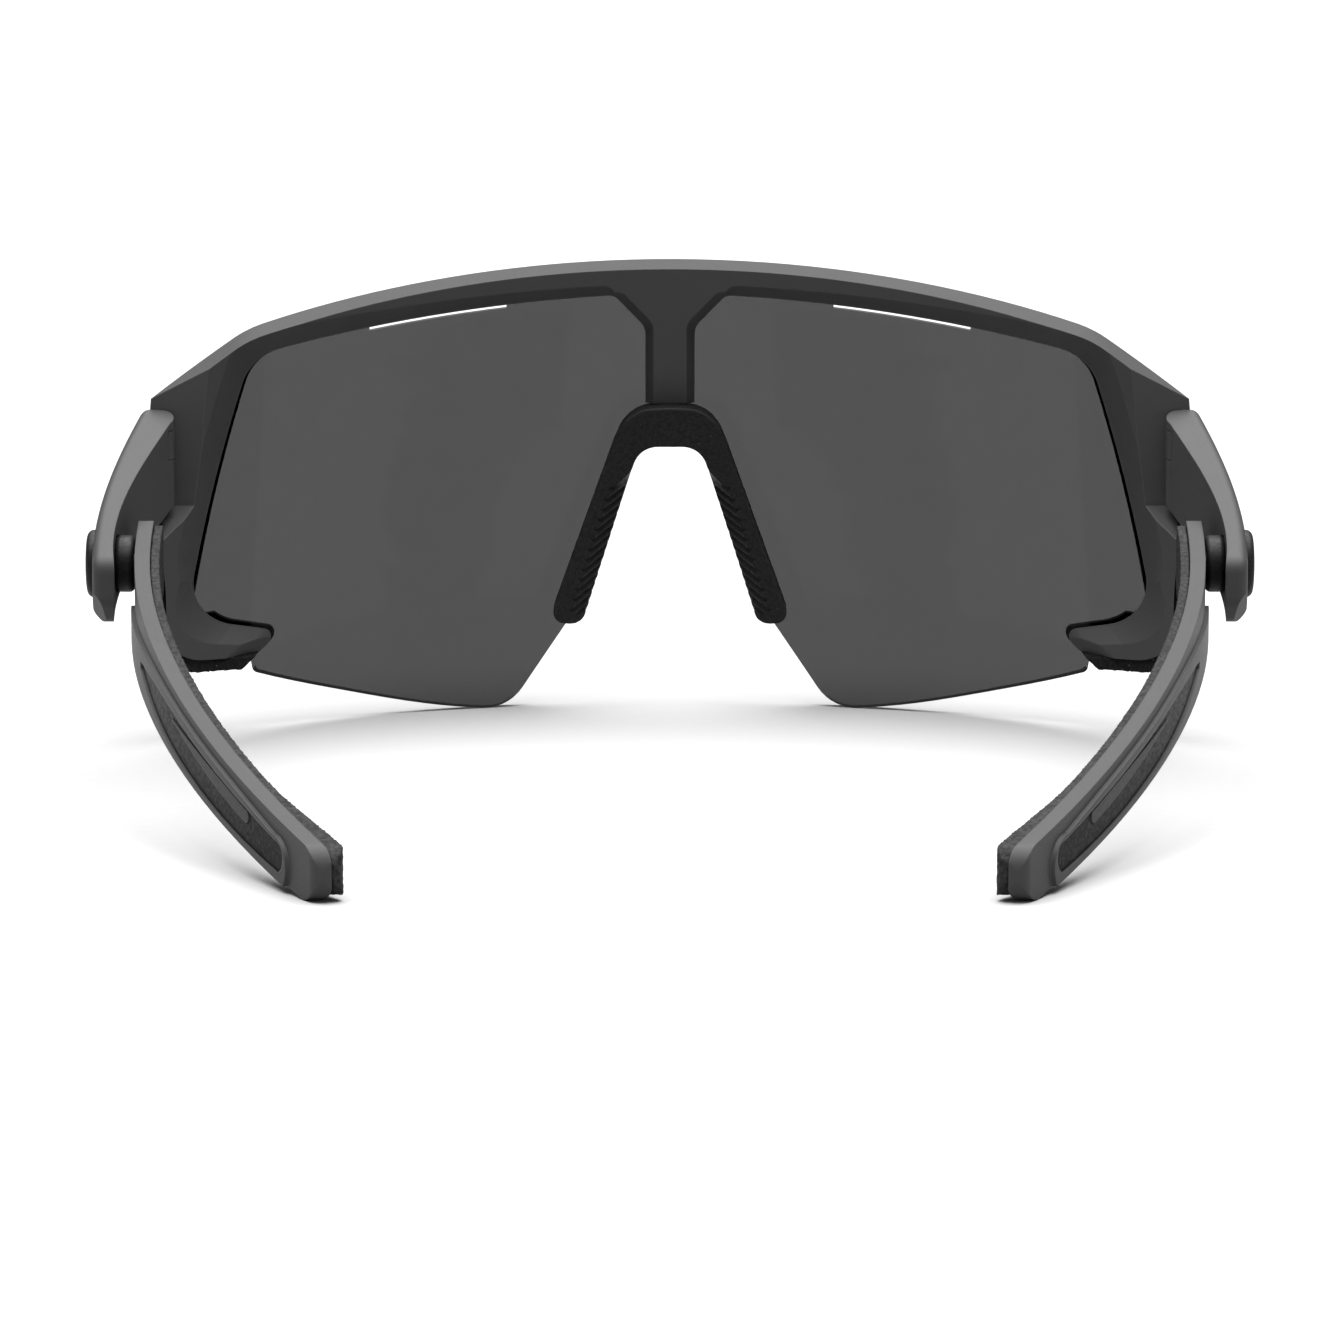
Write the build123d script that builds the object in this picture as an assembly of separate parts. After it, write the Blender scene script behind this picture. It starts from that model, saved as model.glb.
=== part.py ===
from build123d import *
import math
import os

# Wraparound shield sunglasses, wearer's right = +X, lens in front = +Y, up = +Z, millimetres.
# The glasses stand on a table: z = 0 is the plane under the lens lobes and the temple tips.
# Below, y is measured from the hinge line; place() moves the finished parts so that the
# origin lies under the middle of the whole object.

# ---- overall ----
rear_reach = 117.5          # hinge line to the temple tips
curve_radius = 84.0         # horizontal radius at the middle of the lens thickness
curve_axis_y = -51.0        # axis of that curve, behind the hinge line
vertical_radius = 200.0     # the shield also curves gently from top to bottom
curve_mid_height = 30.0     # height where the shield stands furthest forward

# ---- lens ----
lens_thickness = 2.0
lens_overlap = 1.4          # lens edge hidden in the frame groove
lens_clearance = 0.05       # groove is larger than the lens by this, all round
lens_low_corner = (56.6, 7.8)
lens_lobe = (22.4, -0.2)    # corner of the bottom edge and the nose cut, before rounding
lens_lobe_radius = 6.0
nose_cut_low = (14.3, 11.4)
nose_cut_high = (6.6, 33.5)
nose_cut_top = 38.4
vent_inner = 22.5           # vent slot under the brow, from here ...
vent_outer = 41.0           # ... to here
vent_gap = 0.5              # see-through height of the vent slot

# ---- frame ----
frame_back = 3.5            # frame depth behind the lens middle
frame_front = 2.3           # frame depth in front of the lens middle
frame_pitch = 0.16          # the brow's top face falls this much per mm towards the back
brow_top = 56.4             # height of the brow line at the hinge plane (before the pitch)
brow_end = (57.2, 52.2)     # where the brow turns down to the hinge
brow_corner_radius = 12.0
lug_slope = 0.51            # slope of the lug and of the arm behind it
lug_reach = 74.0            # outline limit beyond the hinge
lug_bottom = 33.3
rim_upper = (67.9, 33.3)
rim_middle = (67.1, 22.0)
rim_corner = (66.9, 12.4)
rim_corner_radius = 6.5
rim_end = (50.0, 7.4)
post_half_width = 3.4       # bridge post between the two apertures
post_flare = (7.7, 56.9)
post_flare_start = 52.4
aperture_top_mid = (29.5, 55.1)
aperture_top_corner = (56.4, 50.7)
aperture_side_mid = (61.3, 34.0)
aperture_low_corner = (64.9, 16.1)
aperture_corner_radius = 6.5
hook_tip = (53.0, 12.8)
hook_foot = (57.9, 8.5)
bevel_land = 0.4            # straight wall behind the lens before the inner bevel starts
bevel_side = 0.3            # the inner bevel leans outwards this much per mm backwards,
bevel_brow = 0.62           # ... upwards under the brow
bevel_hook = 0.35           # ... downwards along the hook
bevel_post = 0.5            # ... and towards the middle beside the post

# ---- rubber rim guard ----
guard_thickness = 1.7
guard_inset = 0.3           # guard is this much shallower than the frame, front and back
guard_top_drop = 1.6

# ---- hinge ----
hinge_x = 67.8
hinge_y = -2.6
barrel_radius = 1.7
hinge_gap = 0.25            # air between knuckles and their seats, radially
knuckle_gap = 0.12          # air between stacked knuckles
knuckle_low = 38.0
knuckle_high = 42.0
pin_radius = 0.65
pin_clearance = 0.05
seat_clearance = 0.01       # tight seats inside one body
pin_low = 34.4
pin_high = 43.0
guard_ledge = 31.9          # top of rim and guard behind the split, at y = 0
guard_ledge_slope = 0.6

# ---- front arm ----
arm_rear = -32.6
arm_top = 44.9              # top line at y = 0
arm_bottom = 33.2           # bottom line at y = 0
arm_bottom_slope = 0.45
arm_front_width = 3.1       # arm outside, outboard of the hinge axis
arm_thickness = 2.85        # at the pivot
arm_bow = 0.7               # how far the arm bows outwards between hinge and pivot
arm_edge_radius = 1.3
arm_tail_radius = 2.5

# ---- pivot between arm and temple ----
pivot_y = -24.0
pivot_z = 27.0
pivot_x = 71.95             # inner face of the arm at the pivot
cap_radius = 4.4
cap_height = 1.0            # cap standing proud of the arm
cap_seat = 0.55             # cap pocket depth in the arm
bush_radius = 3.7
bush_gap = 0.15             # rubber bush to temple, the moving face
bush_seat = 0.15            # spot face in the arm
screw_radius = 1.5
screw_head_radius = 2.7
screw_head_height = 0.9
screw_clearance = 0.06
nut_radius = 2.3
nut_cover = 0.1             # nut ends this far under the shell's faces

# ---- rear temple ----
temple_gap = 2.45           # arm's inner face to temple's outer face at the pivot
temple_front = -17.6
temple_top_front = 32.1     # top line height at the front end
temple_top_tip = 6.07       # and at the tip
temple_bottom_front = 22.4
temple_bottom_tip = -0.71
temple_top_fall = (temple_top_front - temple_top_tip) / (rear_reach + temple_front)
temple_bottom_fall = (temple_bottom_front - temple_bottom_tip) / (rear_reach + temple_front)
temple_tip_inset = 30.9     # tip's distance inboard of the hinge axis
shell_thickness = 2.0
lip_thickness = 0.5         # raised lower half of the shell's outer face
tip_corner_loss = 0.34 * shell_thickness    # the rounded tip corner takes this off the temple's length
pad_thickness = 1.3
pad_tip_thickness = 2.4
pad_inset = 0.35
tip_radius = 3.2
grip_floor = 0.45           # pocket floor under the shell's upper outer face
grip_thickness = 0.6
inlay_thickness = 0.75
trim_gap = 0.04             # air round the grip and the inlay

# ---- nose pad ----
pad_depth = 7.4             # rubber stands this far behind the lens
pad_clearance = 0.05        # rubber to lens
saddle_top = 41.9
saddle_half = 6.0
shoulder_radius = 4.6
saddle_toe_outer = (16.7, 12.4)
saddle_toe_inner = (12.1, 11.9)
arch_top = 36.4
arch_half = 4.2
rib_count = 12
rib_width = 0.6
rib_depth = 0.5
core_thickness = 1.0
core_inset = 1.5
core_low = 17.0
tongue_half_width = 1.5
tongue_height = 4.6

lens_back = curve_radius - lens_thickness / 2
lens_front = curve_radius + lens_thickness / 2
frame_inner = curve_radius - frame_back
frame_outer = curve_radius + frame_front
front_reach = curve_axis_y + lens_front - (nose_cut_top - curve_mid_height) ** 2 / (2 * vertical_radius)
origin_shift = (rear_reach - front_reach) / 2
split_y = hinge_y + barrel_radius + hinge_gap + 0.05
post_bottom = saddle_top
temple_x = pivot_x - temple_gap
far = 200.0


# ---------------------------------------------------------------- helpers
def place(shape):
    """Move a part from hinge-line coordinates to the model's own origin."""
    return Pos(0, origin_shift, 0) * shape


def shell(inner, outer, low=-6.0, high=70.0):
    """The doubly curved band between two radii, front half only."""
    def arc(radius):
        def at(z):
            return radius - (z - curve_mid_height) ** 2 / (2 * vertical_radius)
        return ThreePointArc((at(low), low), (radius, curve_mid_height), (at(high), high))
    inside = arc(inner)
    outside = arc(outer)
    lid = Line(outside @ 1, inside @ 1)
    floor = Line(inside @ 0, outside @ 0)
    profile = Plane.XZ * make_face([outside, lid, inside, floor])
    return Pos(0, curve_axis_y, 0) * revolve(profile, Axis.Z, revolution_arc=180)


def prism_y(outline, pitch=0.0, front=60.0, back=-60.0):
    """Push a front-view outline (x, z) straight back, or along a pitched line."""
    start = Pos(0, front, front * pitch) * (Plane.XZ * outline)
    length = (front - back) * math.hypot(1, pitch)
    return extrude(start, amount=length, dir=(0, -1, -pitch))


def prism_x(outline, inner, outer):
    """Push a side-view outline (y, z) sideways."""
    return extrude(Plane.YZ.offset(inner) * outline, amount=outer - inner)


def prism_z(outline, low, high):
    """Push a plan outline (x, y) upwards."""
    return extrude(Plane.XY.offset(low) * outline, amount=high - low)


def rounded(points, radii):
    """Polygon face whose corners carry the given radii (0 leaves a corner sharp)."""
    face = make_face(Polyline(*points, close=True))
    for point, radius in zip(points, radii):
        if radius > 0:
            corner = face.vertices().sort_by_distance(point)[0]
            face = fillet(corner, radius)
    return face


def both_sides(face):
    return face + mirror(face, about=Plane.YZ)


def one(shape):
    """The largest solid of a boolean result, so that crumbs never travel along."""
    return shape.solids().sort_by(SortBy.VOLUME)[-1]


def cylinder_x(radius, inner, outer, y, z):
    return Pos(inner, y, z) * Rot(0, 90, 0) * Cylinder(
        radius, outer - inner, align=(Align.CENTER, Align.CENTER, Align.MIN))


def cylinder_z(radius, x, y, low, high):
    return Pos(x, y, low) * Cylinder(radius, high - low, align=(Align.CENTER, Align.CENTER, Align.MIN))


# ---------------------------------------------------------------- front outlines
def aperture_edges(grow=0.0):
    """Top, side and bottom line of one aperture; grow pushes them outwards."""
    top_x, top_z = post_flare
    corner_x, corner_z = aperture_top_corner
    low_x, low_z = aperture_low_corner
    mid_x, mid_z = aperture_top_mid
    side_x, side_z = aperture_side_mid
    top = ThreePointArc((top_x, top_z + grow), (mid_x, mid_z + grow), (corner_x + grow, corner_z + grow))
    side = ThreePointArc((corner_x + grow, corner_z + grow), (side_x + grow, side_z),
                         (low_x + grow, low_z - grow))
    return top, side


def window_face(below_post=True):
    """Everything cut from the frame on the right: the aperture and the open space under it."""
    top, side = aperture_edges()
    middle = [(0, -20), (0, post_bottom), (post_half_width, post_bottom)]
    if not below_post:
        middle = [(post_half_width, -20)]
    flank = Polyline(*middle, (post_half_width, post_flare_start), post_flare)
    under = Polyline(aperture_low_corner, hook_tip, hook_foot,
                     (hook_foot[0] + 2.4, hook_foot[1] - 2.2), (hook_foot[0] + 2.4, -20), middle[0])
    face = make_face([flank, top, side, under])
    rounding = [((post_half_width, post_flare_start), 2.5), (post_flare, 1.6),
                (aperture_top_corner, aperture_corner_radius),
                (aperture_low_corner, aperture_corner_radius), (hook_tip, 1.2)]
    for point, radius in rounding:
        corner = face.vertices().sort_by_distance(point)[0]
        face = fillet(corner, radius)
    return face


def lens_face(grow=0.0):
    """Front view of the right half of the lens; grow gives the groove's clearance."""
    edge = lens_overlap + grow
    top, side = aperture_edges(edge)
    brow = Line((0, post_flare[1] + edge), (post_flare[0], post_flare[1] + edge))
    low_x, low_z = aperture_low_corner
    end_x, end_z = lens_low_corner
    under = Polyline((low_x + edge, low_z - edge), (end_x + 0.9 + grow, hook_tip[1] + 0.1 - grow),
                     (end_x + grow, end_z - grow))
    bottom = Spline((end_x + grow, end_z - grow), (44.0, 3.6 - grow), (lens_lobe[0], lens_lobe[1] - grow),
                    tangents=((-1, -0.42), (-1, -0.02)))
    nose = Polyline((lens_lobe[0], lens_lobe[1] - grow), nose_cut_low, nose_cut_high)
    arch = ThreePointArc(nose_cut_high, (nose_cut_high[0] * 0.72, nose_cut_top - 1.1), (0, nose_cut_top))
    middle = Line((0, nose_cut_top), (0, post_flare[1] + edge))
    face = make_face([brow, top, side, under, bottom, nose, arch, middle])
    corner_x, corner_z = aperture_top_corner
    rounding = [((corner_x + edge, corner_z + edge), aperture_corner_radius),
                ((low_x + edge, low_z - edge), aperture_corner_radius),
                ((lens_lobe[0], lens_lobe[1] - grow), lens_lobe_radius),
                ((end_x + grow, end_z - grow), 1.0), (nose_cut_low, 3.0)]
    for point, radius in rounding:
        vertex = face.vertices().sort_by_distance(point)[0]
        face = fillet(vertex, radius)
    return face


def vent_face():
    """Slot taken out of the lens top so that air passes under the brow."""
    top, _ = aperture_edges(-vent_gap)
    rise = lens_overlap + vent_gap + 2
    start = top.position_at(0)
    end = top.position_at(1)
    under = make_face([top, Line(end, end + (0, rise)), Line(end + (0, rise), start + (0, rise)),
                       Line(start + (0, rise), start)])
    span = Pos((vent_inner + vent_outer) / 2, 55) * Rectangle(vent_outer - vent_inner, 20)
    return under & span


def brow_face():
    """Front view of the frame's outside, both sides, drawn at the hinge plane."""
    end_x, end_z = brow_end
    brow = ThreePointArc((-end_x, end_z), (0, brow_top), (end_x, end_z))
    drop = end_z - lug_slope * (lug_reach - end_x)
    right = [(end_x, end_z), (lug_reach, drop), (lug_reach, lug_bottom), rim_upper, rim_middle,
             rim_corner, rim_end]
    left = [(-x, z) for x, z in reversed(right)]
    face = make_face([brow, Polyline(*right), Line(rim_end, left[0]), Polyline(*left)])
    for side in (-1, 1):
        for point, radius in ((brow_end, brow_corner_radius), (rim_middle, 12.0), (rim_upper, 1.2),
                              (rim_corner, rim_corner_radius)):
            vertex = face.vertices().sort_by_distance((side * point[0], point[1]))[0]
            face = fillet(vertex, radius)
    return face


def guard_face():
    """Front view of the rubber guard's outside on the right; the frame's own outline is cut from it."""
    t = guard_thickness
    points = [(rim_upper[0] - 1, lug_bottom - 0.05), (rim_upper[0] + 0.1, lug_bottom - 0.05),
              (rim_upper[0] + t, lug_bottom - guard_top_drop), (rim_middle[0] + t, rim_middle[1]),
              (rim_corner[0] + t, rim_corner[1] - t * 0.8), (rim_end[0], rim_end[1] - t)]
    points += [(rim_end[0], rim_end[1] + 8), (rim_middle[0] - 4, rim_middle[1])]
    return rounded(points, [0, 0, 0.8, 10.0, rim_corner_radius + t, 0, 0, 0])


# ---------------------------------------------------------------- front parts
def make_lens():
    half = lens_face() - vent_face()
    lens = shell(lens_back, lens_front) & prism_y(both_sides(half))
    return one(lens)


def groove():
    """Space for the lens edge inside the frame."""
    c = lens_clearance
    return shell(lens_back - c, lens_front + c) & prism_y(both_sides(lens_face(c)))


def hinge_trim():
    """Space behind the hinge split on the right, above a ledge that falls with the arm."""
    def ledge(y):
        return guard_ledge + guard_ledge_slope * y
    outline = make_face(Polyline((split_y, 90), (split_y, ledge(split_y)), (-30, ledge(-30)), (-30, 90), close=True))
    return prism_x(outline, 45, 85)


def frame_knuckle():
    """Middle knuckle of the hinge and the web that ties it to the frame's lug."""
    low = knuckle_low + knuckle_gap
    high = knuckle_high - knuckle_gap
    barrel = cylinder_z(barrel_radius, hinge_x, hinge_y, low, high)
    web_reach = split_y - hinge_y + 1.0
    web = Pos(hinge_x, hinge_y, low) * Box(2 * barrel_radius - 0.4, web_reach, high - low,
                                           align=(Align.CENTER, Align.MIN, Align.MIN))
    bore = cylinder_z(pin_radius + seat_clearance, hinge_x, hinge_y, low - 1, high + 1)
    return barrel + web - bore


def surface_y(radius, x, z):
    """Where the curved surface of this radius stands at a point of the front view."""
    sag = (z - curve_mid_height) ** 2 / (2 * vertical_radius)
    return curve_axis_y + math.sqrt((radius - sag) ** 2 - x ** 2)


def bevel_cutter(outward, upward):
    """The window outline swept back from just behind the lens, leaning outwards and upwards."""
    anchor = lens_back - bevel_land + 0.15
    plane_y = 40.0

    def slide(point):
        travel = plane_y - surface_y(anchor, point.X, point.Y)
        return point.X - outward * travel, point.Y - upward * travel
    edges = []
    for edge in window_face(below_post=False).face().outer_wire().edges():
        samples = 9 if edge.length > 12 else 5
        edges.append(Spline(*[slide(edge.position_at(i / (samples - 1))) for i in range(samples)]))
    outline = Pos(0, plane_y, 0) * (Plane.XZ * make_face(edges))
    length = 60 * math.hypot(1, outward, upward)
    swept = extrude(outline, amount=length, dir=(outward, -1, upward))
    return swept & shell(frame_inner - 6, lens_back - bevel_land)


def bevel():
    """Inner bevel on the right: one lean under the brow and down the side, one along the hook,
    one beside the bridge post."""
    side = bevel_cutter(bevel_side, bevel_brow)
    below = Pos(0, 0, aperture_side_mid[1] - 4) * Box(far, far, 60, align=(Align.CENTER, Align.CENTER, Align.MAX))
    hook = bevel_cutter(bevel_side, -bevel_hook) & below
    middle = Pos(0, 0, post_bottom - 1) * Box(2 * post_flare[0] + 2.6, far, 40,
                                              align=(Align.CENTER, Align.CENTER, Align.MIN))
    post = bevel_cutter(-bevel_post, bevel_brow / 2) & middle
    return side, hook, post


def front_opening():
    """In front of the lens nothing crosses the middle, so the shield shows in one piece."""
    top, side = aperture_edges()
    brow = Line((0, post_flare[1]), post_flare)
    low = Polyline(aperture_low_corner, (0, aperture_low_corner[1]), (0, post_flare[1]))
    face = make_face([brow, top, side, low])
    corner = face.vertices().sort_by_distance(aperture_top_corner)[0]
    face = fillet(corner, aperture_corner_radius)
    return prism_y(both_sides(face)) & shell(lens_back, frame_outer + 5)


def make_frame():
    frame = shell(frame_inner, frame_outer) & prism_y(brow_face(), frame_pitch)
    frame = one(frame - prism_y(both_sides(window_face())))
    for cutter in bevel():
        frame = one(frame - cutter - mirror(cutter, about=Plane.YZ))
    frame = one(frame - groove())
    frame = one(frame - front_opening())
    trim = hinge_trim()
    frame = one(frame - trim - mirror(trim, about=Plane.YZ))
    knuckle = frame_knuckle()
    frame = one(frame + knuckle + mirror(knuckle, about=Plane.YZ))
    return one(frame - core_body(pad_clearance))


def make_guard():
    """Rubber guard wrapped round the lower outside of the rim, right side."""
    band = shell(frame_inner + guard_inset, frame_outer - guard_inset)
    outside = prism_y(guard_face(), frame_pitch)
    inside = prism_y(brow_face(), frame_pitch)
    guard = band & (outside - inside)
    guard = one(guard - prism_y(window_face()) - groove())
    return one(guard - hinge_trim())


def make_hinge_pin():
    return cylinder_z(pin_radius, hinge_x, hinge_y, pin_low, pin_high)


# ---------------------------------------------------------------- nose pad
def saddle_face():
    outer = [(0, saddle_top), (saddle_half, saddle_top), saddle_toe_outer, saddle_toe_inner,
             (arch_half, arch_top), (0, arch_top)]
    return rounded(outer, [0, shoulder_radius, 1.6, 1.6, 3.4, 0])


def core_face(grow):
    """Clip inside the rubber: an inset of the saddle, and a tongue that enters the bridge post."""
    inset = core_inset - grow
    lean = (saddle_toe_outer[0] - saddle_half) / (saddle_top - saddle_toe_outer[1])
    width = saddle_toe_outer[0] - saddle_toe_inner[0]
    def outside(z):
        return saddle_half + lean * (saddle_top - z)
    top = saddle_top - inset
    low = core_low - grow
    leg = [(0, top), (outside(top) - inset - 0.8, top), (outside(low) - inset, low),
           (outside(low) - width + inset, low), (arch_half + inset * 0.6, arch_top + inset),
           (0, arch_top + inset)]
    tongue = Pos(0, saddle_top - 3) * Rectangle(tongue_half_width + grow, tongue_height + 3 + grow,
                                                align=(Align.MIN, Align.MIN))
    return rounded(leg, [0, 1.5, 0.6, 0.6, 1.5, 0]) + tongue


def core_body(grow=0.0):
    middle = lens_back - 1.3
    band = shell(middle - core_thickness / 2 - grow, middle + core_thickness / 2 + grow)
    return one(band & prism_y(both_sides(core_face(grow))))


def rib_cutters():
    """Slanted grooves on the inner faces of both legs, for grip on the nose."""
    grooves = []
    run_x = saddle_toe_inner[0] - arch_half
    run_z = arch_top - saddle_toe_inner[1]
    depth_y = surface_y(lens_back - pad_depth, 8, 22)
    for i in range(rib_count):
        along = 0.27 + 0.62 * i / (rib_count - 1)
        x = arch_half + run_x * along
        z = arch_top - run_z * along
        groove = Box(2 * rib_depth, 2 * pad_depth, rib_width)
        grooves.append(Pos(x, depth_y, z) * Rot(-25, 0, 0) * Rot(0, 18, 0) * groove)
    return grooves


def make_nose_pad():
    band = shell(lens_back - pad_depth, lens_back - pad_clearance)
    pad = one(band & prism_y(both_sides(saddle_face())))
    for groove in rib_cutters():
        pad = pad - groove - mirror(groove, about=Plane.YZ)
    return one(one(pad) - core_body())


# ---------------------------------------------------------------- front arm
def arm_line(front_x, front_y, rear_x, bow):
    """One side of the arm in plan, from the hinge to the tail."""
    y_mid = (front_y + pivot_y) / 2
    tail_x = rear_x - 0.35
    return Spline((front_x, front_y), ((front_x + rear_x) / 2 + bow, y_mid), (rear_x, pivot_y),
                  (tail_x, arm_rear))


def arm_side():
    """Side view of the arm: falls from the hinge to the pivot and ends in a rounded tail."""
    def top(y):
        return arm_top + lug_slope * y
    def bottom(y):
        return arm_bottom + arm_bottom_slope * y
    points = [(split_y, top(split_y)), (arm_rear, top(arm_rear)), (arm_rear, bottom(arm_rear) + 4.5),
              (arm_rear + 2.6, bottom(arm_rear + 2.6)), (split_y, bottom(split_y))]
    return rounded(points, [0, arm_tail_radius, 2.5, 2.0, 0])


def tail_facet():
    """Slanting cut that thins the arm's tail from the outside, below and behind the pivot cap."""
    outer_x = pivot_x + arm_thickness
    front_y = pivot_y - cap_radius + 0.9
    front = Vector(outer_x, front_y, arm_bottom + arm_bottom_slope * front_y)
    rear = Vector(outer_x - 0.2, arm_rear, front.Z + 4.2)
    inner = Vector(pivot_x + 0.3, arm_rear + 1.1, front.Z - 0.6)
    plane = Plane(origin=front, x_dir=rear - front, z_dir=(rear - front).cross(inner - front))
    return extrude(plane * Rectangle(40, 40), amount=12)


def make_arm():
    front_y = split_y - 0.15
    outside = arm_line(hinge_x + arm_front_width, front_y, pivot_x + arm_thickness, arm_bow)
    inside = arm_line(hinge_x - barrel_radius, hinge_y, pivot_x, arm_bow)
    nose = Polyline(inside @ 0, (hinge_x, hinge_y + barrel_radius), (hinge_x + 0.8, front_y), outside @ 0)
    plan = make_face([outside, Line(outside @ 1, inside @ 1), inside, nose])
    body = prism_z(plan, 5, 60) + cylinder_z(barrel_radius, hinge_x, hinge_y, 5, 60)
    arm = one(body & prism_x(arm_side(), 50, 90))
    arm = soften_arm(arm)
    seat = cylinder_z(barrel_radius + hinge_gap, hinge_x, hinge_y, knuckle_low, knuckle_high)
    slot = Pos(hinge_x, hinge_y, knuckle_low) * Box(2 * (barrel_radius + hinge_gap) - 0.4, 6,
                                                    knuckle_high - knuckle_low,
                                                    align=(Align.CENTER, Align.MIN, Align.MIN))
    pin = cylinder_z(pin_radius + pin_clearance, hinge_x, hinge_y, pin_low - 9, pin_high + pin_clearance)
    arm = one(arm - seat - slot - pin - tail_facet())
    return one(arm - pivot_holes())


def soften_arm(arm):
    """Round the long top and bottom edges on the outside."""
    long_edges = [e for e in arm.edges() if e.length > 20 and e.position_at(0.5).X > pivot_x + 0.5]
    return one(fillet(long_edges, arm_edge_radius)) if long_edges else arm


def pivot_holes():
    """Bore, head recess, cap pocket and the bush's spot face, all on the pivot axis."""
    outside = pivot_x + arm_thickness
    cap_floor = outside - cap_seat
    head_floor = cap_floor - screw_head_height - 2 * screw_clearance
    c = screw_clearance
    holes = cylinder_x(screw_radius + c, pivot_x - 3, outside + 3, pivot_y, pivot_z)
    holes += cylinder_x(screw_head_radius + c, head_floor, outside + 3, pivot_y, pivot_z)
    holes += cylinder_x(cap_radius + seat_clearance, cap_floor, outside + 3, pivot_y, pivot_z)
    holes += cylinder_x(bush_radius + seat_clearance, pivot_x - 3, pivot_x + bush_seat, pivot_y, pivot_z)
    return holes


def make_cap():
    """Domed cover over the pivot screw."""
    floor = pivot_x + arm_thickness - cap_seat
    disc = cylinder_x(cap_radius, floor, floor + cap_seat + cap_height, pivot_y, pivot_z)
    rim = disc.edges().filter_by(GeomType.CIRCLE).sort_by(Axis.X)[-1]
    return one(fillet(rim, cap_height * 0.85))


def make_bush():
    """Rubber friction bush between arm and temple."""
    inner = temple_x + bush_gap
    ring = cylinder_x(bush_radius, inner, pivot_x + bush_seat, pivot_y, pivot_z)
    rim = ring.edges().filter_by(GeomType.CIRCLE)
    ring = fillet(rim, 0.7)
    return one(ring - cylinder_x(screw_radius + screw_clearance, inner - 1, pivot_x + 1, pivot_y, pivot_z))


def make_pivot_screw():
    """Shoulder screw: turns in the arm and the bush, held by the nut in the temple."""
    head_top = pivot_x + arm_thickness - cap_seat - screw_clearance
    head_bottom = head_top - screw_head_height
    end = temple_x - shell_thickness + 2 * nut_cover + 0.3
    head = cylinder_x(screw_head_radius, head_bottom, head_top, pivot_y, pivot_z)
    socket = Pos(head_top - 0.5, pivot_y, pivot_z) * Rot(0, 90, 0) * extrude(RegularPolygon(1.1, 6), amount=1)
    return one(head + cylinder_x(screw_radius, end, head_bottom + 0.1, pivot_y, pivot_z) - socket)


def nut_body(grow=0.0):
    inner = temple_x - shell_thickness + nut_cover
    return cylinder_x(nut_radius + grow, inner, temple_x - nut_cover, pivot_y, pivot_z)


def make_nut():
    """Brass insert moulded into the temple shell."""
    bore = cylinder_x(screw_radius + seat_clearance, temple_x - 9, temple_x + 9, pivot_y, pivot_z)
    return one(nut_body() - bore)


# ---------------------------------------------------------------- rear temple
def temple_top(y):
    return temple_top_front - temple_top_fall * (temple_front - y)


def temple_bottom(y):
    return temple_bottom_front - temple_bottom_fall * (temple_front - y)


def temple_line():
    """Outer face of the temple in plan: straight at the pivot, then ever tighter round the head."""
    tip_x = hinge_x - temple_tip_inset + 4.2
    run = rear_reach + pivot_y + tip_corner_loss
    bend = temple_x - tip_x
    points = [(temple_x + 0.1, temple_front), (temple_x, pivot_y)]
    for step in (0.2, 0.42, 0.62, 0.8, 1.0):
        points.append((temple_x - bend * step ** 1.78, pivot_y - run * step))
    return Spline(*points)


def beside(line, distance, count=13):
    """A curve at the given distance inboard of a plan line; distance may vary along it."""
    points = []
    for i in range(count):
        t = i / (count - 1)
        tangent = line.tangent_at(t)
        inboard = Vector(tangent.Y, -tangent.X, 0)
        points.append(line.position_at(t) + inboard * distance(t))
    return Spline(*points)


def plan_band(near, far_side, near_round=0.0, far_round=0.0):
    """Upright wall between two distances from the temple's outer line, its tip corners rounded."""
    line = temple_line()
    first = beside(line, near)
    second = beside(line, far_side)
    face = make_face([first, Line(first @ 1, second @ 1), second, Line(second @ 0, first @ 0)])
    for corner, radius in ((first @ 1, near_round), (second @ 1, far_round)):
        if radius > 0:
            face = fillet(face.vertices().sort_by_distance(corner)[0], radius)
    return prism_z(face, -10, 50)


def temple_side(inset=0.0, front=0.0):
    """Side view of the temple with its rounded tip."""
    y0 = temple_front - front
    y1 = -rear_reach + inset
    points = [(y0, temple_top(y0) - inset), (y1, temple_top(y1) - inset),
              (y1, temple_bottom(y1) + inset), (y0, temple_bottom(y0) + inset)]
    return rounded(points, [0.8, tip_radius, tip_radius - 0.4, 2.0])


def temple_region(upper, lower):
    """Closed side-view region from (y, share of the temple's height) stations."""
    def height(y, share):
        return temple_bottom(y) + share * (temple_top(y) - temple_bottom(y))
    over = Spline(*[(y, height(y, share)) for y, share in upper])
    under = Spline(*[(y, height(y, share)) for y, share in lower])
    mouth = Line(over @ 0, under @ 0)
    middle = ((over @ 1) + (under @ 1)) / 2
    bulge = ((over @ 1) - (under @ 1)).length / 2
    end = ThreePointArc(over @ 1, middle + Vector(-bulge, 0, 0), under @ 1)
    return make_face([over, end, under, mouth])


def lip_region():
    return temple_region([(-30, 0.30), (-44, 0.58), (-60, 0.78), (-80, 0.84), (-97, 0.82), (-108, 0.72)],
                         [(-30, -0.3), (-60, -0.3), (-108, -0.3)])


def grip_region(grow=0.0):
    g = grow / 8
    return temple_region([(-52, 0.46 + g), (-64, 0.66 + g), (-82, 0.72 + g), (-98, 0.70 + g), (-109, 0.66 + g)],
                         [(-52, 0.36 - g), (-64, 0.16 - g), (-82, 0.08 - g), (-98, 0.08 - g), (-109, 0.13 - g)])


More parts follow.
